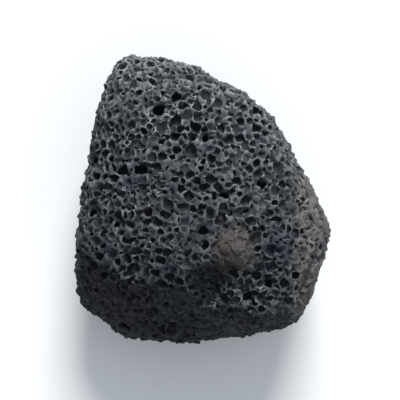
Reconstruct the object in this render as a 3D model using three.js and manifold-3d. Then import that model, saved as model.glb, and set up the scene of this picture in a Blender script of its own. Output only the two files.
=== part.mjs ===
// Lava rock: one palm-sized lump of black vesicular basalt (scoria).
// Millimetres, +Z up. The stone rests on a small broken-flat facet at z = 0, and the origin is the
// middle of its bounding box at that height. +Y is the back of the stone, -Y is the steep front.
import * as THREE from "three";
import { mergeVertices } from "three/addons/utils/BufferGeometryUtils.js";
import Module from "manifold-3d";

// ---------------------------------------------------------------- driving dimensions (mm)
const WIDTH = 66.0; // X, left flank to right flank
const DEPTH = 75.0; // Y, front skirt to back edge
const HEIGHT = 46.5; // Z, resting facet to the top of the knob
const CENTRE_Z = 21.0; // height of the point that the surface is measured from
const EDGE_ROUNDING = 1.25; // how softly two facets of the stone meet
const LOW_ROUNDING = 3.4; // the same near the resting facet, where the stone is worn rounder
const LUMP = 1.15; // height of the broad lumps
const RIPPLE = 0.42; // height of the finer unevenness
const DETAIL = 15; // divisions of each face of the starting icosahedron
const SEED = 7;

// Facets of the stone as planes: outward direction, then distance from the centre point.
// Crown facets.
const CROWN = [
  [0.03, 0.1, 1.0, 24.0], // main porous crown
  [0.04, 0.5, 0.88, 30.2], // crown rounding off to the back
  [-0.34, -0.26, 0.9, 28.0], // crown falling to the front left
  [-0.5, 0.08, 0.86, 29.4], // crown falling to the left
  [0.4, 0.12, 0.91, 28.2], // crown falling to the right
  [0.12, -0.42, 0.9, 29.6], // front right, below the knob
];
// Flanks: the outline seen from above, each with its own lean.
const FLANKS = [
  [0.03, 0.995, 0.1, 38.9], // back
  [0.03, 0.99, -0.2, 38.6], // back, lower
  [0.5, 0.86, 0.14, 31.8], // back right
  [0.5, 0.83, -0.22, 29.4], // back right, lower
  [0.86, 0.44, 0.26, 30.2], // right, upper
  [0.88, 0.44, -0.16, 28.4], // right, upper, lower half
  [0.77, 0.0, 0.64, 37.2], // right flank facet
  [0.99, -0.08, -0.1, 34.6], // right, below its shoulder
  [0.86, -0.46, 0.2, 39.8], // front right corner
  [0.24, -0.95, 0.2, 38.0], // front, right part
  [-0.16, -0.78, 0.6, 32.2], // front, steep skirt
  [-0.62, -0.54, 0.57, 35.9], // front left, below the crown's corner
  [0.0, -0.995, -0.1, 39.4], // front, below the skirt
  [-0.76, -0.62, 0.18, 42.7], // front left
  [-0.99, 0.1, 0.06, 33.4], // left
  [-0.93, 0.34, 0.1, 35.4], // back left
];
// Underside, which curves in to the resting facet.
const UNDERSIDE = [
  [0.7, 0.2, -0.68, 28.6],
  [0.3, 0.7, -0.65, 31.6],
  [-0.34, 0.66, -0.67, 32.6],
  [-0.78, 0.14, -0.6, 31.2],
  [-0.56, -0.52, -0.65, 35.8],
  [0.04, -0.76, -0.64, 34.4],
  [0.6, -0.5, -0.63, 34.4],
  [0.05, 0.03, -1.0, 22.5], // just below the resting facet
];

// Bumps (added) and hollows (removed): centre x, y, z above the resting facet, radii, softness.
const KNOB = { at: [9.0, -13.2, 42.6], r: [5.6, 5.0, 5.3], soft: 1.4 };
const HOLLOWS = [
  { at: [2.6, -22.6, 44.2], r: [4.6, 5.4, 6.6], soft: 1.6 }, // gully beside the knob, which opens to the skirt
  { at: [10.5, -23.4, 50.0], r: [7.0, 5.0, 8.0], soft: 2.6 }, // step down below the knob
  { at: [25.0, 40.0, 28.0], r: [9.0, 9.0, 12.0], soft: 3.0 }, // bay on the back right
  { at: [-37.5, 2.0, 14.0], r: [7.0, 12.0, 8.0], soft: 3.0 }, // bay on the left, low down
  { at: [4.0, 43.0, 13.0], r: [12.0, 7.0, 9.0], soft: 3.0 }, // bay on the back, low down
  { at: [37.5, -16.0, 10.0], r: [7.0, 9.0, 7.0], soft: 3.0 }, // bay on the right, low down
  { at: [-12.0, -41.3, 13.0], r: [10.0, 7.0, 6.0], soft: 3.4 }, // bay on the front, low down
];

// Large vesicles that are cut as real pits: centre direction is found from x, y on the crown,
// then radii along the surface and the depth.
const CROWN_VESICLES = [
  // x, y, long radius, short radius, turn (deg)
  [-10.3, 22.4, 2.1, 2.0, 0],
  [-14.6, 7.0, 2.5, 1.7, 8],
  [-19.6, 6.8, 2.0, 1.2, 5],
  [1.2, 14.6, 1.8, 1.5, 40],
  [-6.2, 25.4, 1.7, 1.3, 20],
  [15.2, 3.4, 1.9, 1.3, -20],
  [5.9, 0.4, 2.4, 1.2, 5],
  [-27.0, -3.6, 1.7, 1.5, 60],
  [-21.0, -7.0, 1.8, 1.4, 80],
  [1.0, -8.4, 1.7, 1.4, 0],
  [17.0, -21.5, 1.7, 1.4, -30],
  [11.6, -24.6, 1.6, 1.3, 35],
];
const OTHER_VESICLES = 22; // spread over the flanks and the underside

// ---------------------------------------------------------------- helpers
function random(seed) {
  let a = seed >>> 0;
  return () => {
    a = (a + 0x6d2b79f5) >>> 0;
    let t = a;
    t = Math.imul(t ^ (t >>> 15), t | 1);
    t ^= t + Math.imul(t ^ (t >>> 7), t | 61);
    return ((t ^ (t >>> 14)) >>> 0) / 4294967296;
  };
}

// Gradient noise in three dimensions, about -1 to 1.
function hash(x, y, z, s) {
  let h =
    Math.imul(x, 374761393) ^
    Math.imul(y, 668265263) ^
    Math.imul(z, 2147483647) ^
    Math.imul(s, 1274126177);
  h = Math.imul(h ^ (h >>> 13), 1274126177);
  return (h ^ (h >>> 16)) >>> 0;
}
function gradient(ix, iy, iz, dx, dy, dz, s) {
  const h = hash(ix, iy, iz, s);
  const a = ((h & 1023) / 1023) * 2 * Math.PI;
  const c = (((h >>> 10) & 1023) / 1023) * 2 - 1;
  const r = Math.sqrt(1 - c * c);
  return r * Math.cos(a) * dx + r * Math.sin(a) * dy + c * dz;
}
function noise(p, wavelength, s) {
  const x = p.x / wavelength,
    y = p.y / wavelength,
    z = p.z / wavelength;
  const X = Math.floor(x),
    Y = Math.floor(y),
    Z = Math.floor(z);
  const fx = x - X,
    fy = y - Y,
    fz = z - Z;
  const w = (t) => t * t * t * (t * (t * 6 - 15) + 10);
  const u = w(fx),
    v = w(fy),
    q = w(fz);
  const g = (i, j, k) => gradient(X + i, Y + j, Z + k, fx - i, fy - j, fz - k, s);
  const mix = (a, b, t) => a + (b - a) * t;
  return (
    1.6 *
    mix(
      mix(mix(g(0, 0, 0), g(1, 0, 0), u), mix(g(0, 1, 0), g(1, 1, 0), u), v),
      mix(mix(g(0, 0, 1), g(1, 0, 1), u), mix(g(0, 1, 1), g(1, 1, 1), u), v),
      q,
    )
  );
}

const softMax = (a, b, k) => {
  const h = Math.max(k - Math.abs(a - b), 0) / k;
  return Math.max(a, b) + h * h * k * 0.25;
};
const softMin = (a, b, k) => -softMax(-a, -b, k);

const PLANES = [...CROWN, ...FLANKS, ...UNDERSIDE].map(([x, y, z, d]) => {
  const n = new THREE.Vector3(x, y, z).normalize();
  return { n, d };
});

function ellipsoid(p, e) {
  const [x, y, z] = e.at,
    [a, b, c] = e.r;
  const q = new THREE.Vector3((p.x - x) / a, (p.y - y) / b, (p.z - z) / c);
  return (q.length() - 1) * Math.min(a, b, c);
}

// Signed distance, roughly: negative inside the stone. p is in the stone's frame before scaling.
function stone(p) {
  const x = p.x,
    y = p.y,
    z = p.z - CENTRE_Z;
  let top = -1e9;
  const each = PLANES.map(({ n, d }) => n.x * x + n.y * y + n.z * z - d);
  top = Math.max(...each);
  const low = Math.min(1, Math.max(0, (17 - p.z) / 13));
  const rounding =
    EDGE_ROUNDING + (LOW_ROUNDING - EDGE_ROUNDING) * low * low * (3 - 2 * low);
  let sum = 0;
  for (const e of each) sum += Math.exp((e - top) / rounding);
  let f = top + rounding * Math.log(sum);
  f += 0.9 * low * noise(p, 13, SEED + 4);
  f += LUMP * noise(p, 17, SEED) + 0.5 * LUMP * noise(p, 9.5, SEED + 1);
  f += RIPPLE * noise(p, 5.2, SEED + 2);
  f = softMin(f, ellipsoid(p, KNOB) - 0.5 * noise(p, 3.2, SEED + 3), KNOB.soft);
  for (const h of HOLLOWS) f = softMax(f, -ellipsoid(p, h), h.soft);
  return f;
}

// The outermost point of the stone along a ray from the centre point.
function surfaceAlong(direction) {
  const at = (t) =>
    stone(
      new THREE.Vector3(
        direction.x * t,
        direction.y * t,
        CENTRE_Z + direction.z * t,
      ),
    );
  let t = 62;
  while (t > 1 && at(t) > 0) t -= 0.5;
  let low = t,
    high = t + 0.5;
  for (let i = 0; i < 26; i++) {
    const mid = (low + high) / 2;
    if (at(mid) > 0) high = mid;
    else low = mid;
  }
  return (low + high) / 2;
}

function closedGeometry(geometry) {
  const g = geometry.index ? geometry.toNonIndexed() : geometry.clone();
  g.deleteAttribute("normal");
  g.deleteAttribute("uv");
  return mergeVertices(g, 1e-4);
}

const wasm = await Module();
wasm.setup();
const solidOf = (geometry) => {
  const g = closedGeometry(geometry);
  return new wasm.Manifold(
    new wasm.Mesh({
      numProp: 3,
      vertProperties: new Float32Array(g.attributes.position.array),
      triVerts: new Uint32Array(g.index.array),
    }),
  );
};

// ---------------------------------------------------------------- the stone's outer form
const form = closedGeometry(new THREE.IcosahedronGeometry(1, DETAIL));
const pos = form.attributes.position;
for (let i = 0; i < pos.count; i++) {
  const d = new THREE.Vector3().fromBufferAttribute(pos, i).normalize();
  const t = surfaceAlong(d);
  pos.setXYZ(i, d.x * t, d.y * t, CENTRE_Z + d.z * t);
}

// Scaled to the stated size. The part below z = 0 is broken off flat, so HEIGHT is measured from there.
form.computeBoundingBox();
const box = form.boundingBox.clone();
const sx = WIDTH / (box.max.x - box.min.x),
  sy = DEPTH / (box.max.y - box.min.y),
  sz = HEIGHT / box.max.z;
const cx = (box.max.x + box.min.x) / 2,
  cy = (box.max.y + box.min.y) / 2;
const place = (v) => new THREE.Vector3((v.x - cx) * sx, (v.y - cy) * sy, v.z * sz);
for (let i = 0; i < pos.count; i++) {
  const v = place(new THREE.Vector3().fromBufferAttribute(pos, i));
  pos.setXYZ(i, v.x, v.y, v.z);
}
let rock = solidOf(form);

// The resting facet.
const below = new THREE.BoxGeometry(200, 200, 60).translate(0, 0, -30);
rock = rock.subtract(solidOf(below));

// ---------------------------------------------------------------- large vesicles
function pit(direction, long, short, turn, lift) {
  const t = surfaceAlong(direction);
  const at = place(
    new THREE.Vector3(
      direction.x * t,
      direction.y * t,
      CENTRE_Z + direction.z * t,
    ),
  );
  // The surface's own normal there, from the field.
  const raw = new THREE.Vector3(
    direction.x * t,
    direction.y * t,
    CENTRE_Z + direction.z * t,
  );
  const e = 0.6;
  const n = new THREE.Vector3(
    stone(raw.clone().add(new THREE.Vector3(e, 0, 0))) -
      stone(raw.clone().add(new THREE.Vector3(-e, 0, 0))),
    stone(raw.clone().add(new THREE.Vector3(0, e, 0))) -
      stone(raw.clone().add(new THREE.Vector3(0, -e, 0))),
    stone(raw.clone().add(new THREE.Vector3(0, 0, e))) -
      stone(raw.clone().add(new THREE.Vector3(0, 0, -e))),
  ).normalize();
  const g = new THREE.IcosahedronGeometry(1, long > 1.9 ? 2 : 1);
  g.scale(long, short, (long + short) / 2);
  g.rotateZ(THREE.MathUtils.degToRad(turn));
  g.applyQuaternion(
    new THREE.Quaternion().setFromUnitVectors(new THREE.Vector3(0, 0, 1), n),
  );
  const c = at.clone().addScaledVector(n, -short * lift);
  g.translate(c.x, c.y, c.z);
  return { solid: solidOf(g), at, n, r: long };
}

const placed = [];
const clear = (p) =>
  placed.every((q) => q.at.distanceTo(p.at) > 1.15 * (q.r + p.r) + 0.8);
for (const [x, y, long, short, turn] of CROWN_VESICLES) {
  // The ray that meets the crown at this x and y.
  let d = new THREE.Vector3(x / sx + cx, y / sy + cy, 22).normalize();
  for (let i = 0; i < 12; i++) {
    const t = surfaceAlong(d);
    d = new THREE.Vector3(x / sx + cx, y / sy + cy, d.z * t).normalize();
  }
  const p = pit(d, long, short, turn, 0.25);
  placed.push(p);
}
const rand = random(SEED * 101 + 3);
let tries = 0;
while (placed.length < CROWN_VESICLES.length + OTHER_VESICLES && tries++ < 4000) {
  const z = rand() * 1.9 - 1.25;
  const a = rand() * 2 * Math.PI;
  const long = 1.3 + 1.3 * rand() * rand() + 0.4 * rand();
  const short = long * (0.62 + 0.34 * rand());
  const turn = rand() * 180;
  if (z > 0.62) continue;
  const r = Math.sqrt(Math.max(0, 1 - z * z));
  if (!(r > 0.2)) continue;
  const d = new THREE.Vector3(r * Math.cos(a), r * Math.sin(a), z).normalize();
  const p = pit(d, long, short, turn, 0.25);
  if (p.at.z < long + 2.2) continue; // the resting facet stays whole
  if (clear(p)) placed.push(p);
}
for (const p of placed) rock = rock.subtract(p.solid);

// ---------------------------------------------------------------- the mesh
const made = rock.getMesh();
const positions = new Float32Array(made.numVert * 3);
for (let i = 0; i < made.numVert; i++)
  positions.set(
    made.vertProperties.subarray(i * made.numProp, i * made.numProp + 3),
    i * 3,
  );
const geometry = new THREE.BufferGeometry()
  .setAttribute("position", new THREE.BufferAttribute(positions, 3))
  .setIndex(new THREE.BufferAttribute(new Uint32Array(made.triVerts), 1));
geometry.computeVertexNormals();
geometry.computeBoundingBox();

const basalt = new THREE.MeshStandardMaterial({
  name: "basalt",
  color: new THREE.Color(0.085, 0.09, 0.097),
  roughness: 0.92,
  metalness: 0,
});
const lavaRock = new THREE.Mesh(geometry, basalt);
lavaRock.name = "lava_rock";

const part = new THREE.Group();
part.add(lavaRock);

export default part;
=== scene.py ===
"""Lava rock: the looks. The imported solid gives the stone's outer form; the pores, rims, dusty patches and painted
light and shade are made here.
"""

import math

import bpy
import numpy as np
from mathutils import Matrix, Vector
from mathutils.bvhtree import BVHTree


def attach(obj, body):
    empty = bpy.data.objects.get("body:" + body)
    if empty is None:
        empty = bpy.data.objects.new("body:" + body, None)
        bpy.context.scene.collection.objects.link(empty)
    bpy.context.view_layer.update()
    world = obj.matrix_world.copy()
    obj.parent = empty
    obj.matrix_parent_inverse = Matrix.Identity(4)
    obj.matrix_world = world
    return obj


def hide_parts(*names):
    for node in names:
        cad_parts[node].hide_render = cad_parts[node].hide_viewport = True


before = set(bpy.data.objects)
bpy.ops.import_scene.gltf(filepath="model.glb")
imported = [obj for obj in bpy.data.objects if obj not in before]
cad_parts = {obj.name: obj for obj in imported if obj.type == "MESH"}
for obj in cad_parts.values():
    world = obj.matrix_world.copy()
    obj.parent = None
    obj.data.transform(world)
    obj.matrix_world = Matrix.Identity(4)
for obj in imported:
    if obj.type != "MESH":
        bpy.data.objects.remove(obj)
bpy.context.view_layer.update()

MM = 0.001
NODE = "lava_rock"

# ------------------------------------------------------------------ sizes, in millimetres
VOXEL = 0.27  # of the grid that the stone is carved on
FORM_STEP = 1.0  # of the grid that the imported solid's distance is measured on
PAD = 2.1  # air kept round the stone
PORE = 0.73  # median radius of a pore
COVER = 0.90  # share of the skin that the pores and half their walls take up
SWELL = 1.15  # how far bubbles are pressed together, which flattens their walls
WALL = 0.31  # between two bubbles
DEEPER = 0.24  # share of the pores that break into another bubble below
TRIANGLES = 196_000
SEED = 11


# ------------------------------------------------------------------ grids
def cubic_rows(n_out, start, step, n_in):
    """A matrix that takes n_in samples to n_out samples by Catmull-Rom, at positions start + i * step in input samples."""
    m = np.zeros((n_out, n_in), np.float32)
    x = np.clip(start + step * np.arange(n_out), 0, n_in - 1.000001)
    i = np.floor(x).astype(int)
    t = x - i
    w = [
        -0.5 * t**3 + t**2 - 0.5 * t,
        1.5 * t**3 - 2.5 * t**2 + 1,
        -1.5 * t**3 + 2 * t**2 + 0.5 * t,
        0.5 * t**3 - 0.5 * t**2,
    ]
    rows = np.arange(n_out)
    for k in range(4):
        np.add.at(m, (rows, np.clip(i + k - 1, 0, n_in - 1)), w[k])
    return m


def resample(a, rows):
    """a, a 3-D array, taken to the fine grid by one matrix an axis."""
    a = np.tensordot(rows[0], a, (1, 0))
    a = np.tensordot(rows[1], a, (1, 1)).transpose(1, 0, 2)
    return np.ascontiguousarray(np.tensordot(rows[2], a, (1, 2)).transpose(1, 2, 0))


class Grid:
    def __init__(self, low, high, step):
        self.low, self.step = np.asarray(low, float), float(step)
        self.n = np.ceil((np.asarray(high) - self.low) / step).astype(int) + 1

    def axes(self):
        return [self.low[k] + self.step * np.arange(self.n[k]) for k in range(3)]

    def rows_from(self, other):
        """Matrices that take an array on the other grid to this one."""
        return [
            cubic_rows(
                self.n[k],
                (self.low[k] - other.low[k]) / other.step,
                self.step / other.step,
                other.n[k],
            )
            for k in range(3)
        ]

    def noise(self, wavelength, seed):
        """Smooth noise on this grid, about -1 to 1, from random numbers half a wavelength apart."""
        high = self.low + self.step * (self.n - 1)
        g = Grid(self.low - wavelength, high + wavelength, wavelength / 2)
        a = np.random.default_rng(seed).uniform(-1, 1, tuple(g.n)).astype(np.float32)
        return resample(a, self.rows_from(g)) * 1.5

    def sample(self, a, points):
        """Trilinear values of a at points."""
        x = (points - self.low) / self.step
        x = np.clip(x, 0, np.asarray(a.shape[:3]) - 1.0001)
        i = x.astype(int)
        t = (x - i).astype(np.float32)
        out = 0
        for dx in (0, 1):
            for dy in (0, 1):
                for dz in (0, 1):
                    w = (
                        (t[:, 0] if dx else 1 - t[:, 0])
                        * (t[:, 1] if dy else 1 - t[:, 1])
                        * (t[:, 2] if dz else 1 - t[:, 2])
                    )
                    v = a[i[:, 0] + dx, i[:, 1] + dy, i[:, 2] + dz]
                    out = out + (w if v.ndim == 1 else w[:, None]) * v
        return out


def noise_at(points, wavelength, seed, columns=1):
    """Smooth noise at points, about -1 to 1."""
    low, high = points.min(0) - wavelength, points.max(0) + wavelength
    g = Grid(low, high, wavelength / 2)
    a = np.random.default_rng(seed).uniform(-1, 1, (*g.n, columns)).astype(np.float32)
    # Smoothstep on the cell position keeps the value noise free of creases.
    x = (points - g.low) / g.step
    i = np.floor(x)
    t = x - i
    t = t * t * (3 - 2 * t)
    v = g.sample(a, g.low + (i + t) * g.step)
    return 1.4 * (v if columns > 1 else v[:, 0])


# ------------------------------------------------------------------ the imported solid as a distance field
def form_field(obj, step):
    """(grid, signed distance in mm, negative inside) of a closed mesh."""
    me = obj.data
    v = np.empty(len(me.vertices) * 3)
    me.vertices.foreach_get("co", v)
    v = v.reshape(-1, 3) / MM
    me.calc_loop_triangles()
    f = np.empty(len(me.loop_triangles) * 3, np.int32)
    me.loop_triangles.foreach_get("vertices", f)
    f = f.reshape(-1, 3)
    tree = BVHTree.FromPolygons(v.tolist(), f.tolist(), all_triangles=True)
    # Off the solid's own coordinates, so that no ray runs along an edge.
    g = Grid(v.min(0) - PAD - 0.0137, v.max(0) + PAD + 0.0071, step)
    ax, ay, az = g.axes()
    inside = np.zeros(tuple(g.n), bool)
    up = Vector((0, 0, 1))
    start = float(az[0]) - 1.0
    for i, x in enumerate(ax):
        for j, y in enumerate(ay):
            z, hits = start, []
            while len(hits) < 24:
                hit = tree.ray_cast(Vector((x, y, z)), up)
                if hit[0] is None:
                    break
                hits.append(hit[0].z)
                z = hit[0].z + 1e-4
            for a, b in zip(hits[0::2], hits[1::2]):
                inside[i, j, (az > a) & (az < b)] = True
    d = np.empty(tuple(g.n), np.float32)
    for i, x in enumerate(ax):
        for j, y in enumerate(ay):
            for k, z in enumerate(az):
                d[i, j, k] = tree.find_nearest((x, y, z))[3]
    return g, np.where(inside, -d, d), v, f


def blurred(a, sigma):
    """a, blurred by a Gaussian of sigma samples."""
    r = max(1, int(3 * sigma))
    w = np.exp(-0.5 * (np.arange(-r, r + 1) / sigma) ** 2)
    w /= w.sum()
    for axis in range(3):
        p = np.pad(a, [(r, r) if k == axis else (0, 0) for k in range(3)], mode="edge")
        a = sum(
            w[k] * p[tuple(slice(k, k + a.shape[q]) if q == axis else slice(None) for q in range(3))]
            for k in range(2 * r + 1)
        ).astype(np.float32)
    return a


# ------------------------------------------------------------------ bubbles
class Foam:
    """Bubbles on a grid. near and next are the distances to the walls of the nearest bubble and of the next one, negative inside."""

    def __init__(self, grid):
        self.grid = grid
        self.near = np.full(tuple(grid.n), 9.0, np.float32)
        self.next = self.near.copy()

    def add(self, centre, r, turn, reach=0.9):
        """A bubble of radius r about centre. turn, a 3 x 3 matrix, makes it an ellipsoid."""
        h = self.grid.step
        c = (np.asarray(centre) - self.grid.low) / h
        out = (1.25 * r + reach) / h
        a = np.maximum(0, np.floor(c - out)).astype(int)
        b = np.minimum(self.grid.n, np.ceil(c + out).astype(int) + 1)
        if (b <= a).any():
            return
        x = ((np.arange(a[0], b[0]) - c[0]) * h).astype(np.float32)[:, None, None]
        y = ((np.arange(a[1], b[1]) - c[1]) * h).astype(np.float32)[None, :, None]
        z = ((np.arange(a[2], b[2]) - c[2]) * h).astype(np.float32)[None, None, :]
        m = turn.astype(np.float32)
        d = np.zeros((b - a), np.float32)
        for row in m:
            d += (row[0] * x + row[1] * y + row[2] * z) ** 2
        d = np.sqrt(d) - np.float32(r)
        part = tuple(slice(a[k], b[k]) for k in range(3))
        near = self.near[part]
        self.next[part] = np.minimum(self.next[part], np.maximum(near, d))
        self.near[part] = np.minimum(near, d)


def stretch(r_, amount):
    """A random rotation with a little stretch, of volume 1."""
    q = r_.normal(size=4)
    q /= np.linalg.norm(q)
    w, x, y, z = q
    m = np.array(
        [
            [1 - 2 * (y * y + z * z), 2 * (x * y - z * w), 2 * (x * z + y * w)],
            [2 * (x * y + z * w), 1 - 2 * (x * x + z * z), 2 * (y * z - x * w)],
            [2 * (x * z - y * w), 2 * (y * z + x * w), 1 - 2 * (x * x + y * y)],
        ]
    )
    s = np.exp(r_.uniform(-amount, amount, 3))
    s /= s.prod() ** (1 / 3)
    return s[:, None] * m


def on_skin(grid, skin, slope, p, steps=3):
    """Points moved along the slope to the skin."""
    for _ in range(steps):
        p = p - grid.sample(skin, p)[:, None] * grid.sample(slope, p)
    return p


def spread(grid, skin, slope, size, fixed, r_):
    """Pore places on the skin, close packed: (points, radii). fixed are rows of x, y, z, r that keep their places."""
    shell = np.flatnonzero(np.abs(skin) < grid.step / 2)
    area = len(shell) * grid.step**2
    ijk = np.stack(np.unravel_index(shell, skin.shape), 1)
    points, radii, covered = [], [], 0.0
    order = r_.permutation(len(ijk))
    k = 0
    wall = 0.36
    while covered < COVER * area:
        p = grid.low + (ijk[order[k]] + r_.uniform(-0.5, 0.5, 3)) * grid.step
        rho = float(np.clip(np.exp(r_.normal(-0.03, 0.38)), 0.52, 1.8)) * PORE
        if r_.random() < 0.012:
            rho = r_.uniform(1.7, 2.3) * PORE
        points.append(p)
        radii.append(rho)
        covered += math.pi * (rho + wall / 2) ** 2
        k += 1
    p, rho = np.array(points), np.array(radii)
    p = on_skin(grid, skin, slope, p)
    rho = rho * grid.sample(size, p)
    # Where pores are small there is room for more of them.
    extra = []
    for q in range(len(p)):
        room = (PORE + wall / 2) ** 2 / (rho[q] + wall / 2) ** 2 - 1
        if room > 0 and r_.random() < room * 0.8 and grid.sample(size, p[q : q + 1])[0] < 0.93:
            extra.append((*(p[q] + r_.normal(0, 0.8, 3)), rho[q] * r_.uniform(0.85, 1.1)))
    if extra:
        extra = np.array(extra)
        p = np.concatenate([p, on_skin(grid, skin, slope, extra[:, :3])])
        rho = np.concatenate([rho, extra[:, 3]])
    if len(fixed):
        p = np.concatenate([fixed[:, :3], p])
        rho = np.concatenate([fixed[:, 3], rho])
    n_fixed = len(fixed)
    p = p.astype(np.float32)
    rho = rho.astype(np.float32)
    want = rho[:, None] + rho[None, :] + wall
    share = (rho[None, :] / (rho[:, None] + rho[None, :])).astype(np.float32)
    for step in range(40):
        d2 = np.sum(p * p, 1)
        d = np.sqrt(np.maximum(d2[:, None] + d2[None, :] - 2 * p @ p.T, 1e-6))
        np.fill_diagonal(d, 99)
        push = np.where(d < want, (want - d) / d * share * 0.55, 0)
        move = p * push.sum(1)[:, None] - push @ p
        move[:n_fixed] = 0
        size_ = np.linalg.norm(move, axis=1)[:, None]
        p = p + move * np.minimum(1, 0.7 / np.maximum(size_, 1e-6))
        p[n_fixed:] = on_skin(grid, skin, slope, p[n_fixed:], 1)
    return p.astype(float), rho


def soft_max(a, b, k):
    h = np.maximum(k - np.abs(a - b), 0) / k
    return np.maximum(a, b) + h * h * (k * 0.25)


# ------------------------------------------------------------------ surface nets
def surface_nets(grid, F):
    """Vertices (mm) and quads of F = 0, facing the side where F is positive."""
    s = F < 0
    n = np.array(F.shape)
    count = np.zeros(n - 1, np.uint8)
    for dx in (0, 1):
        for dy in (0, 1):
            for dz in (0, 1):
                count += s[dx : n[0] - 1 + dx, dy : n[1] - 1 + dy, dz : n[2] - 1 + dz]
    active = (count > 0) & (count < 8)
    cells = np.flatnonzero(active)
    cx, cy, cz = np.unravel_index(cells, active.shape)
    number = np.full(active.size, -1, np.int32)
    number[cells] = np.arange(len(cells))
    total = np.zeros((len(cells), 3))
    weight = np.zeros(len(cells))
    corner = lambda dx, dy, dz: F[cx + dx, cy + dy, cz + dz]
    for axis in range(3):
        for u in (0, 1):
            for v in (0, 1):
                a = [0, 0, 0]
                a[(axis + 1) % 3], a[(axis + 2) % 3] = u, v
                b = list(a)
                b[axis] = 1
                fa, fb = corner(*a), corner(*b)
                cross = (fa < 0) != (fb < 0)
                t = np.where(cross, fa / np.where(cross, fa - fb, 1), 0)
                p = np.zeros((len(cells), 3))
                p += a
                p[:, axis] = t
                total[cross] += p[cross]
                weight[cross] += 1
    local = total / weight[:, None]
    points = (np.stack([cx, cy, cz], 1) + local) * grid.step + grid.low
    quads = []
    for axis in range(3):
        u, v = (axis + 1) % 3, (axis + 2) % 3
        lo = [slice(None)] * 3
        hi = [slice(None)] * 3
        lo[axis], hi[axis] = slice(0, n[axis] - 1), slice(1, n[axis])
        lo[u] = hi[u] = slice(1, n[u] - 1)
        lo[v] = hi[v] = slice(1, n[v] - 1)
        a, b = s[tuple(lo)], s[tuple(hi)]
        for inner in (True, False):  # a inside and b outside, or the reverse
            e = np.argwhere(a & ~b) if inner else np.argwhere(~a & b)
            e[:, u] += 1
            e[:, v] += 1
            q = []
            for du, dv in ((-1, -1), (0, -1), (0, 0), (-1, 0)):
                c = e.copy()
                c[:, u] += du
                c[:, v] += dv
                q.append(number[np.ravel_multi_index(c.T, active.shape)])
            q = np.stack(q, 1)
            quads.append(q if inner else q[:, ::-1])
    return points, np.concatenate(quads)


def largest_piece(points, faces):
    """Only the faces of the connected surface with the most vertices, with its own vertices."""
    label = np.arange(len(points))
    sides = faces.shape[1]
    edges = np.concatenate([faces[:, [k, (k + 1) % sides]] for k in range(sides)])
    while True:
        low = np.minimum(label[edges[:, 0]], label[edges[:, 1]])
        new = label.copy()
        np.minimum.at(new, edges[:, 0], low)
        np.minimum.at(new, edges[:, 1], low)
        new = new[new]
        new = new[new]
        if (new == label).all():
            break
        label = new
    best = np.bincount(label).argmax()
    keep = label == best
    index = np.cumsum(keep) - 1
    return points[keep], index[faces[keep[faces[:, 0]]]]


def mesh_of(name, points, faces):
    me = bpy.data.meshes.new(name)
    me.vertices.add(len(points))
    me.vertices.foreach_set("co", points.astype(np.float32).ravel())
    me.loops.add(faces.size)
    me.loops.foreach_set("vertex_index", faces.astype(np.int32).ravel())
    me.polygons.add(len(faces))
    me.polygons.foreach_set("loop_start", np.arange(0, faces.size, faces.shape[1], dtype=np.int32))
    me.polygons.foreach_set("loop_total", np.full(len(faces), faces.shape[1], np.int32))
    me.update(calc_edges=True)
    me.validate()
    return me


# ------------------------------------------------------------------ the stone
form_grid, form, cad_v, cad_f = form_field(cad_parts[NODE], FORM_STEP)
high = form_grid.low + form_grid.step * (form_grid.n - 1)
grid = Grid(form_grid.low + 0.3, high - 0.3, VOXEL)
base = resample(blurred(form, 0.55), grid.rows_from(form_grid))

# How coarse the pores are: fine on the right flank, the knob and the skirt.
ax, ay, az = [a.astype(np.float32) for a in grid.axes()]
X, Y, Z = ax[:, None, None], ay[None, :, None], az[None, None, :]


def bump(x, low, high):
    t = np.clip((x - low) / (high - low), 0, 1)
    return t * t * (3 - 2 * t)


def facing_front(n):
    """How far a surface of normal n faces the front left, where the skirt is."""
    return -(0.45 * n[..., 0] + 0.85 * n[..., 1])


r_ = np.random.default_rng(SEED + 8)
inset = 0.16 * bump(Z, 0.0, 1.2)
KNOB, KNOB_R = np.array((8.7, -12.8, 41.4)), np.array((5.3, 4.8, 5.1))
skin = base + inset + (0.20 * grid.noise(7.5, SEED + 32) + 0.28 * grid.noise(2.3, SEED + 35)) * bump(Z, 0.3, 1.6)
# The knob is a cluster of small lumps.
to_knob = np.sqrt(((X - KNOB[0]) / KNOB_R[0]) ** 2 + ((Y - KNOB[1]) / KNOB_R[1]) ** 2 + ((Z - KNOB[2]) / KNOB_R[2]) ** 2)
to_knob += 0.12 * grid.noise(3.2, SEED + 36)
skin += 0.85 * (1 - bump(to_knob, 0.85, 1.25))
lumps = np.full_like(skin, 9.0)
for _ in range(40):
    way = r_.normal(size=3)
    way[2] = abs(way[2])
    way /= np.linalg.norm(way)
    r = r_.uniform(0.85, 1.7)
    c = KNOB + way * (KNOB_R * r_.uniform(0.87, 1.0) - r)
    lumps = np.minimum(lumps, np.sqrt((X - c[0]) ** 2 + (Y - c[1]) ** 2 + (Z - c[2]) ** 2) - r)
skin = -soft_max(-skin, -lumps.astype(np.float32), 0.22)
skin += 0.13 * grid.noise(1.25, SEED + 38) * (1 - bump(to_knob, 1.0, 1.25))
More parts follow.
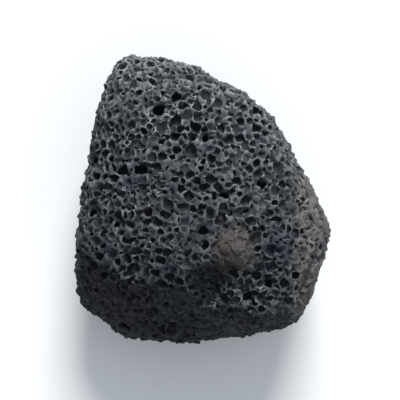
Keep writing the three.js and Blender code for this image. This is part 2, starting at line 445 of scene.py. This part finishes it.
# The crown's right edge stands out a little over the strip.
lip = np.exp(-(((X - 0.006 * (Y + 15.0) ** 2) - 22.3) ** 2) / 1.3) * bump(Y, -30, -26) * bump(-Y, -6, 2) * bump(Z, 28, 33)
skin -= (0.42 * lip * (1 + 0.5 * grid.noise(5.0, SEED + 37))).astype(np.float32)
slope = np.stack(np.gradient(base, grid.step), -1).astype(np.float32)
slope /= np.maximum(np.linalg.norm(slope, axis=3, keepdims=True), 0.3)
size = 1.0 + 0.13 * grid.noise(18.0, SEED + 20)
arc = X - 0.006 * (Y + 15.0) ** 2  # the right flank's strip follows the outline
flank = bump(arc, 22.6, 24.4) * bump(-Y, -14, -4) * bump(Z, 10, 24)
knob = 1 - bump(to_knob, 0.95, 1.25)
size *= 1 - 0.44 * flank
size *= 1 - 0.42 * knob
size *= 1 - 0.20 * np.exp(-(((X - 14.0) / 8.0) ** 2) - ((Y + 24.0) / 7.0) ** 2)
size *= 1 - 0.12 * bump(facing_front(slope), 0.50, 0.66)
size = size.astype(np.float32)

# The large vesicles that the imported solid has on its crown: x, y, long and short half axes, turn in degrees.
VESICLES = [
    (-10.1, 22.0, 2.3, 2.1, 0), (-14.6, 7.0, 2.6, 1.8, 8), (-19.6, 6.8, 2.0, 1.2, 5), (1.2, 14.6, 1.8, 1.5, 40),
    (-6.2, 25.4, 1.7, 1.3, 20), (15.2, 3.4, 1.9, 1.3, -20), (5.9, 0.4, 2.4, 1.2, 5), (-27.0, -3.6, 1.7, 1.5, 60),
    (-21.0, -7.0, 1.8, 1.4, 80), (1.0, -8.4, 1.7, 1.4, 0), (17.0, -21.5, 1.7, 1.4, -30), (11.6, -24.6, 1.6, 1.3, 35),
]
fixed = []
for x, y, long_, short, turn in VESICLES:
    column = grid.sample(skin, np.stack([np.full(len(az), x), np.full(len(az), y), az], 1))
    top = az[np.flatnonzero(column < 0).max()]
    fixed.append((x, y, top, 0.5 * (long_ + short)))
fixed = np.array(fixed)
places, radii = spread(grid, skin, slope, size, fixed, r_)
foam = Foam(grid)
normals = grid.sample(slope, places)
normals /= np.linalg.norm(normals, axis=1)[:, None]
off_knob = np.linalg.norm((places - KNOB) / KNOB_R, axis=1)
skirt = bump(facing_front(normals), 0.50, 0.66)
for q in np.argsort(-radii):
    r = radii[q] * SWELL
    if q >= len(VESICLES) and off_knob[q] < 1.12:
        if r_.random() < 0.22:
            foam.add(places[q] + normals[q] * 0.15, 0.42, stretch(r_, 0.3))
        continue
    if q < len(VESICLES):
        long_, short, turn = VESICLES[q][2:]
        a = math.radians(turn)
        mean = 0.5 * (long_ + short)
        m = np.array([[math.cos(a) * mean / long_, math.sin(a) * mean / long_, 0], [-math.sin(a) * mean / short, math.cos(a) * mean / short, 0], [0, 0, 1.0]])
        foam.add(places[q] - normals[q] * 0.45 * mean, mean, m)
        continue
    sink = r * (r_.uniform(-0.35, 0.70) - 0.45 * skirt[q])
    # Left of the middle the bubbles are drawn out from side to side.
    drawn = 1.0 + 0.32 * math.exp(-(((places[q][0] + 15.0) / 13.0) ** 2) - ((places[q][1] + 1.0) / 9.0) ** 2)
    foam.add(places[q] - normals[q] * sink, r, stretch(r_, 0.32) @ np.diag((1.0 / drawn, drawn**0.5, 1.0)))
# Deeper bubbles that the outer ones break into.
for q in np.flatnonzero((r_.random(len(places)) < DEEPER) & (off_knob > 1.25)):
    r = radii[q] * r_.uniform(0.55, 0.95)
    side = r_.normal(size=3) * 0.45 * radii[q]
    foam.add(places[q] - normals[q] * radii[q] * r_.uniform(1.1, 1.7) + side, r, stretch(r_, 0.2))
# Small bubbles in the gaps.
gaps = np.flatnonzero((np.abs(skin + 0.15) < 0.22) & (to_knob > 1.15))
near = foam.near.ravel()
for r, share in ((0.62, 0.3), (0.5, 0.5), (0.4, 0.7), (0.32, 0.9)):
    for index in r_.permutation(gaps)[: int(share * len(gaps))]:
        if near[index] > r + 0.13:
            c = grid.low + np.array(np.unravel_index(index, skin.shape)) * grid.step
            foam.add(c, r, stretch(r_, 0.12), 0.6)

rough = 0.07 * grid.noise(1.4, SEED + 30) + 0.08 * grid.noise(3.6, SEED + 31)
wall = WALL + 0.14 * grid.noise(6.0, SEED + 33) + 0.28 * grid.noise(1.8, SEED + 34)
pores = np.maximum(foam.near, 0.5 * wall - 0.5 * (foam.next - foam.near))
F = soft_max(skin + rough * bump(Z, 0.3, 1.6), -(pores + 0.4 * rough), 0.10)
points, quads = surface_nets(grid, F)
points, quads = largest_piece(points, quads)

# The pores' outlines are uneven.
shift = noise_at(points, 2.7, SEED + 40, 3) * 0.32 + noise_at(points, 1.3, SEED + 41, 3) * 0.14
shift *= bump(points[:, 2], 0.3, 1.8)[:, None]
points = points + shift
points[:, 2] = np.maximum(points[:, 2], 0.0)

me = mesh_of("stone", points * MM, quads)
rock = bpy.data.objects.new("porous_lava_rock", me)
bpy.context.scene.collection.objects.link(rock)

# Faces are spent where they show: near the skin, and less in the deep bubbles and underneath.
shown = bump(grid.sample(skin, points), -2.3, -1.2) * (0.45 + 0.55 * bump(points[:, 2], 3.0, 10.0))
hidden = rock.vertex_groups.new(name="hidden")
level = np.round(shown * 8).astype(int)
level[(np.linalg.norm((points - KNOB) / KNOB_R, axis=1) < 1.12) & (shown > 0.5)] = -1  # the knob keeps every face
for k in range(9):
    hidden.add(np.flatnonzero(level == k).tolist(), 1.0 - 0.5 * k / 8, "REPLACE")
thin = rock.modifiers.new("thin", "DECIMATE")
thin.vertex_group = "hidden"
thin.vertex_group_factor = 3e-5
thin.ratio = min(1.0, TRIANGLES / (2 * len(quads)))
thin.use_collapse_triangulate = True
dg = bpy.context.evaluated_depsgraph_get()
thinned = bpy.data.meshes.new_from_object(rock.evaluated_get(dg))
rock.modifiers.clear()
rock.vertex_groups.clear()
# Thinning leaves a few pairs of faces that lie on each other. Both go, and the surface stays closed.
thinned.calc_loop_triangles()
faces = np.empty(3 * len(thinned.loop_triangles), np.int32)
thinned.loop_triangles.foreach_get("vertices", faces)
faces = faces.reshape(-1, 3)
co = np.empty(3 * len(thinned.vertices), np.float32)
thinned.vertices.foreach_get("co", co)
co = co.reshape(-1, 3)
_, same, times = np.unique(np.sort(faces, axis=1), axis=0, return_inverse=True, return_counts=True)
co, faces = largest_piece(co, faces[times[same.ravel()] == 1])
final = mesh_of("porous_lava_rock", co, faces)
rock.data = final

# ------------------------------------------------------------------ what the material reads
co = np.empty(len(final.vertices) * 3, np.float32)
final.vertices.foreach_get("co", co)
co = co.reshape(-1, 3) / MM
nrm = np.empty(len(final.vertices) * 3, np.float32)
final.vertices.foreach_get("normal", nrm)
nrm = nrm.reshape(-1, 3)
depth = -grid.sample(skin, co.astype(float))  # how far a point lies below the stone's skin


def attribute(name, values):
    a = final.attributes.new(name, "FLOAT", "POINT")
    a.data.foreach_set("value", np.asarray(values, np.float32))


attribute("depth", depth)
ends = np.empty(2 * len(final.edges), np.int32)
final.edges.foreach_get("vertices", ends)
ends = ends.reshape(-1, 2)
ridge = np.zeros(len(co))
count = np.zeros(len(co))
for a, b in ((0, 1), (1, 0)):
    d = co[ends[:, b]] - co[ends[:, a]]
    fall = -np.einsum("ij,ij->i", d, nrm[ends[:, a]]) / np.maximum(np.linalg.norm(d, axis=1), 1e-6)
    np.add.at(ridge, ends[:, a], fall)
    np.add.at(count, ends[:, a], 1)
attribute("ridge", bump(ridge / np.maximum(count, 1), 0.06, 0.34))  # 1 on the sharpest edges that stand out
form_up = np.gradient(base, grid.step, axis=2)
attribute("skyward", grid.sample(form_up, co.astype(float)))
form_normal = grid.sample(slope, co.astype(float))
arc = co[:, 0] - 0.006 * (co[:, 1] + 15.0) ** 2 + 0.5 * noise_at(co.astype(float), 4.0, SEED + 51)
strip = bump(arc, 22.3, 23.9) * bump(-co[:, 1], -20, -2) * bump(co[:, 1], -35, -28) * bump(co[:, 2], 12, 26)
# A pale band along the back edge, where the edge faces the light: partly dust, partly a painted highlight.
pale_edge_and_highlight = 0.45 * bump(co[:, 1] - 0.1 * co[:, 0] ** 2 / 10, 26.0, 33.0) * bump(co[:, 2], 14, 28)
shoulder = 0.40 * bump(form_normal[:, 0], 0.30, 0.60) * bump(co[:, 1], -4, 8) * bump(co[:, 2], 18, 28)
attribute("dust_and_highlight", np.maximum(np.maximum(strip, shoulder), pale_edge_and_highlight))
off = np.linalg.norm((co - KNOB) / KNOB_R, axis=1) + 0.10 * noise_at(co.astype(float), 3.2, SEED + 50)
attribute("lump", 1 - bump(off, 1.0, 1.3))
# Painted shade: darker on the front left that faces away from the light, less so low down, and in the hollow under the
# knob.
below = bump(facing_front(form_normal) + 0.06 * noise_at(co.astype(float), 5.0, SEED + 52), 0.46, 0.62)
hollow = 1 - bump(np.hypot((co[:, 0] - 1.2) / 4.6, (co[:, 1] + 21.6) / 5.4), 0.75, 1.15)
below *= 0.25 + 0.75 * bump(co[:, 2], 6, 28)
attribute("front_shade", np.maximum(below, 0.85 * hollow * bump(-co[:, 1], 15.5, 18.5)))
# Patches where the crown is made paler and where it is made darker: partly painted light and shade (paler along the
# back edge, darker at the lower left and front left), partly the stone's own tone: x, y, radius, how much.
tone_and_light_patches = np.zeros(len(co))
for x, y, reach, much in ((14, 19, 12, 0.26), (-3, 32, 10, 0.30), (6, -27, 8, 0.74), (1, -8, 7, -0.54), (-3, 10, 9, -0.34), (20, -9, 7, -0.38), (-20, -27, 11, -0.34), (-27, -11, 8, -0.40), (-12, -2, 8, 0.22), (8, 1, 6, 0.34)):
    tone_and_light_patches += much * np.exp(-((co[:, 0] - x) ** 2 + (co[:, 1] - y) ** 2) / reach**2)
attribute("tone_and_light_patches", tone_and_light_patches * bump(co[:, 2], 16, 26))
# Where the glass is bluish: x, y, radius.
cold = np.zeros(len(co))
for x, y, reach in ((-17, 6, 6), (20, -14, 6), (12, -21, 6), (-23, -13, 7)):
    cold = np.maximum(cold, np.exp(-((co[:, 0] - x) ** 2 + (co[:, 1] - y) ** 2) / reach**2))
attribute("cold", cold * bump(co[:, 2], 16, 26))
final.polygons.foreach_set("use_smooth", np.ones(len(final.polygons), bool))
final.update()

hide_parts(NODE)
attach(rock, "root")


# ------------------------------------------------------------------ material
def node(tree, kind, **values):
    n = tree.nodes.new(kind)
    for k, v in values.items():
        if k in n.inputs:
            n.inputs[k].default_value = v
        else:
            setattr(n, k, v)
    return n


def stone_material():
    m = bpy.data.materials.new("vesicular basalt")
    m.use_nodes = True
    t = m.node_tree
    t.nodes.clear()
    link = t.links.new
    out = node(t, "ShaderNodeOutputMaterial")
    bsdf = node(t, "ShaderNodeBsdfPrincipled")
    bsdf.inputs["Specular IOR Level"].default_value = 0.25
    link(bsdf.outputs[0], out.inputs[0])
    coord = node(t, "ShaderNodeTexCoord")
    depth_ = node(t, "ShaderNodeAttribute", attribute_name="depth")
    sky = node(t, "ShaderNodeAttribute", attribute_name="skyward")
    dust_and_highlight = node(t, "ShaderNodeAttribute", attribute_name="dust_and_highlight").outputs["Fac"]
    lump = node(t, "ShaderNodeAttribute", attribute_name="lump").outputs["Fac"]
    front_shade = node(t, "ShaderNodeAttribute", attribute_name="front_shade").outputs["Fac"]
    ridge_ = node(t, "ShaderNodeAttribute", attribute_name="ridge").outputs["Fac"]
    tone_and_light_fac = node(t, "ShaderNodeAttribute", attribute_name="tone_and_light_patches").outputs["Fac"]
    cold = node(t, "ShaderNodeAttribute", attribute_name="cold").outputs["Fac"]
    place = node(t, "ShaderNodeSeparateXYZ")
    link(coord.outputs["Object"], place.inputs[0])

    def noise(scale, detail=3.0, rough=0.6):
        n = node(t, "ShaderNodeTexNoise")
        n.inputs["Scale"].default_value = scale
        n.inputs["Detail"].default_value = detail
        n.inputs["Roughness"].default_value = rough
        link(coord.outputs["Object"], n.inputs["Vector"])
        return n.outputs["Fac"]

    def math_(op, a, b=None, c=None, clamp=False):
        n = node(t, "ShaderNodeMath", operation=op)
        n.use_clamp = clamp
        for k, x in enumerate((a, b, c)):
            if x is None:
                continue
            if isinstance(x, (int, float)):
                n.inputs[k].default_value = x
            else:
                link(x, n.inputs[k])
        return n.outputs[0]

    def ramp(value, low, high, to_low=0.0, to_high=1.0):
        n = node(t, "ShaderNodeMapRange")
        n.interpolation_type = "SMOOTHSTEP"
        link(value, n.inputs["Value"])
        n.inputs["From Min"].default_value = low
        n.inputs["From Max"].default_value = high
        n.inputs["To Min"].default_value = to_low
        n.inputs["To Max"].default_value = to_high
        return n.outputs["Result"]

    def mix(fac, a, b):
        n = node(t, "ShaderNodeMix", data_type="RGBA")
        if isinstance(fac, (int, float)):
            n.inputs["Factor"].default_value = fac
        else:
            link(fac, n.inputs["Factor"])
        for k, x in (("A", a), ("B", b)):
            s = [i for i in n.inputs if i.name == k and i.type == "RGBA"][0]
            if isinstance(x, tuple):
                s.default_value = (*x, 1)
            else:
                link(x, s)
        return [o for o in n.outputs if o.type == "RGBA"][0]

    grain = noise(2600.0, 3.0, 0.7)
    fine = noise(650.0, 4.0, 0.65)
    patch = noise(230.0, 3.0, 0.6)
    broad = noise(70.0, 3.0, 0.6)
    # Rims: what lies near the skin is worn and dusty; what lies deep is black glass, darker the deeper it lies, which
    # is painted shade in the pores.
    edge = math_("ADD", depth_.outputs["Fac"], math_("MULTIPLY", math_("SUBTRACT", fine, 0.5), 0.6))
    rim = ramp(edge, 0.38, -0.02)
    # Thin walls and sharp rims show light inside the stone within half a millimetre.
    thin = node(t, "ShaderNodeAmbientOcclusion", inside=True, only_local=True, samples=6)
    thin.inputs["Distance"].default_value = 0.0006
    sharp = ramp(math_("SUBTRACT", 1.0, thin.outputs["AO"]), 0.34, 0.72)
    sharp = math_("MULTIPLY", sharp, ramp(depth_.outputs["Fac"], 0.55, 0.05))
    # Painted light: rims and crests are lighter where the form faces up (partly dust settling there), lighter towards
    # the back where the lamp is, and paler and darker in the listed patches; the two noises are the stone's uneven
    # tone.
    light = ramp(sky.outputs["Fac"], -0.3, 0.85, 0.62, 1.0)
    light = math_("MULTIPLY", light, ramp(patch, 0.30, 0.70, 0.74, 1.12))
    light = math_("MULTIPLY", light, ramp(broad, 0.30, 0.70, 0.88, 1.08))
    light = math_("MULTIPLY", light, ramp(place.outputs["Y"], -0.014, 0.034, 0.73, 1.40))
    light = math_("MULTIPLY", light, math_("ADD", 1.0, tone_and_light_fac))
    # Pale crests: edge wear, made brighter with the painted light, so partly a painted highlight; fainter on the knob
    # and in the painted front shade.
    pale_edge_and_highlight = math_("MAXIMUM", math_("MULTIPLY", ridge_, 0.55), sharp)
    pale_edge_and_highlight = math_("MULTIPLY", pale_edge_and_highlight, ramp(noise(460.0, 2.0, 0.5), 0.34, 0.66, 0.40, 1.35))
    pale_edge_and_highlight = math_("MULTIPLY", pale_edge_and_highlight, math_("SUBTRACT", 1.0, math_("MULTIPLY", lump, 0.40)))
    pale_edge_and_highlight = math_("MULTIPLY", pale_edge_and_highlight, math_("SUBTRACT", 1.0, math_("MULTIPLY", front_shade, 0.62)))
    pale_edge_and_highlight = math_("MULTIPLY", math_("MULTIPLY", pale_edge_and_highlight, light), ramp(grain, 0.35, 0.65, 0.45, 1.0), clamp=True)
    # Worn rims are darker in the painted front shade and follow the painted light.
    rim = math_("MULTIPLY", rim, math_("SUBTRACT", 1.0, math_("MULTIPLY", front_shade, 0.86)))
    rim = math_("MULTIPLY", rim, light, clamp=True)
    deep = (0.0150, 0.0167, 0.0196)
    wall = (0.0195, 0.0220, 0.0256)
    blue = (0.0135, 0.0175, 0.0300)
    grey = (0.048, 0.053, 0.059)
    cool = (0.035, 0.042, 0.052)
    pale = (0.292, 0.308, 0.322)
    tan_c = (0.098, 0.093, 0.087)
    brown = (0.032, 0.0245, 0.021)
    # Painted shade: the inside of the pores is darker the deeper it lies.
    inside = mix(ramp(depth_.outputs["Fac"], 1.3, 0.3), deep, wall)
    inside = mix(math_("MAXIMUM", ramp(broad, 0.52, 0.38, 0.0, 0.65), math_("MULTIPLY", cold, 0.5)), inside, blue)
    worn = mix(ramp(broad, 0.35, 0.65), cool, grey)
    worn = mix(math_("MULTIPLY", cold, 0.4), worn, (0.036, 0.044, 0.064))
    worn = mix(dust_and_highlight, worn, tan_c)
    colour = mix(rim, inside, worn)
    settled = math_("MULTIPLY", math_("MULTIPLY", dust_and_highlight, ramp(edge, 1.1, 0.1)), ramp(patch, 0.35, 0.65, 0.2, 0.75))
    colour = mix(settled, colour, tan_c)
    # The knob: brown and grey in a fine pattern, lighter towards the upper right and browner at the lower left, which
    # is painted light and shade.
    knob_tone_and_shade = mix(math_("MULTIPLY", ramp(fine, 0.30, 0.62), ramp(math_("ADD", place.outputs["X"], place.outputs["Y"]), -0.0085, -0.0015, 0.35, 1.0)), brown, (0.073, 0.067, 0.065))
    colour = mix(math_("MULTIPLY", lump, ramp(edge, 1.0, 0.1, 0.35, 1.0)), colour, knob_tone_and_shade)
    colour = mix(math_("MULTIPLY", pale_edge_and_highlight, 0.74), colour, pale)
    # Painted glints: small random specks made lighter.
    glint_speck = mix(ramp(grain, 0.60, 0.74, 0.0, 0.45), colour, mix(0.40, colour, (0.30, 0.31, 0.32)))
    # Painted shade: the front face turned away from the light and the hollow under the knob are darker.
    dark = node(t, "ShaderNodeVectorMath", operation="SCALE")
    link(glint_speck, dark.inputs[0])
    link(math_("SUBTRACT", 1.0, math_("MULTIPLY", front_shade, 0.48)), dark.inputs["Scale"])
    link(dark.outputs[0], bsdf.inputs["Base Color"])
    link(ramp(fine, 0.3, 0.7, 0.72, 0.95), bsdf.inputs["Roughness"])
    b1 = node(t, "ShaderNodeBump")
    b1.inputs["Strength"].default_value = 0.7
    b1.inputs["Distance"].default_value = 0.00022
    link(fine, b1.inputs["Height"])
    b2 = node(t, "ShaderNodeBump")
    b2.inputs["Strength"].default_value = 0.5
    b2.inputs["Distance"].default_value = 0.00008
    link(grain, b2.inputs["Height"])
    link(b1.outputs[0], b2.inputs["Normal"])
    link(b2.outputs[0], bsdf.inputs["Normal"])
    return m


final.materials.clear()
final.materials.append(stone_material())

# ------------------------------------------------------------------ floor, light, camera
scene = bpy.context.scene
scene.view_settings.view_transform = "Standard"
scene.view_settings.look = "None"
scene.view_settings.exposure = 0
scene.view_settings.gamma = 1

floor_mesh = bpy.data.meshes.new("floor")
s = 12.0
floor_mesh.from_pydata([(-s, -s, 0), (s, -s, 0), (s, s, 0), (-s, s, 0)], [], [(0, 1, 2, 3)])
floor = bpy.data.objects.new("floor", floor_mesh)
scene.collection.objects.link(floor)
fm = bpy.data.materials.new("pale floor")
fm.use_nodes = True
fb = fm.node_tree.nodes["Principled BSDF"]
fb.inputs["Base Color"].default_value = (0.80, 0.81, 0.82, 1)
fb.inputs["Roughness"].default_value = 0.7
fb.inputs["Specular IOR Level"].default_value = 0.2
floor_mesh.materials.append(fm)

world = bpy.data.worlds.new("world")
world.use_nodes = True
wt = world.node_tree
fill = wt.nodes["Background"]
fill.inputs[0].default_value = (0.84, 0.92, 1.0, 1)
fill.inputs[1].default_value = 0.42
pale = wt.nodes.new("ShaderNodeBackground")
pale.inputs[0].default_value = (1.0, 1.0, 1.0, 1)
seen = wt.nodes.new("ShaderNodeLightPath")
both = wt.nodes.new("ShaderNodeMixShader")
wt.links.new(seen.outputs["Is Camera Ray"], both.inputs[0])
wt.links.new(fill.outputs[0], both.inputs[1])
wt.links.new(pale.outputs[0], both.inputs[2])
wt.links.new(both.outputs[0], wt.nodes["World Output"].inputs[0])
scene.world = world


def sun(name, towards, strength, softness, colour=(1, 1, 1)):
    """A wide, distant light that comes from the direction given."""
    d = bpy.data.lights.new(name, "SUN")
    d.energy = strength
    d.angle = math.radians(softness)
    d.color = colour
    o = bpy.data.objects.new(name, d)
    scene.collection.objects.link(o)
    o.rotation_mode = "QUATERNION"
    o.rotation_quaternion = Vector(towards).to_track_quat("Z", "Y")
    return o


sun("window", (0.12, 0.80, 0.60), 4.25, 25, (1.0, 0.99, 0.97))
sun("sky", (0.35, 0.15, 0.92), 0.45, 70, (0.9, 0.95, 1.0))
sun("bounce", (0.25, -0.90, 0.12), 0.85, 80, (1.0, 1.0, 1.0))

cam_data = bpy.data.cameras.new("camera")
cam = bpy.data.objects.new("camera", cam_data)
scene.collection.objects.link(cam)
scene.camera = cam
cam_data.lens = 139
cam_data.sensor_width = 36
cam_data.clip_start, cam_data.clip_end = 0.01, 10
elevation, reach = math.radians(88.0), 0.40
target = Vector((0.0, 0.0, 0.026))
back = Vector((0, -math.cos(elevation), math.sin(elevation)))
cam.location = target + back * reach
right = Vector((1, 0, 0))
up = back.cross(right)
cam.rotation_mode = "QUATERNION"
cam.rotation_quaternion = Matrix((right, up, back)).transposed().to_quaternion()
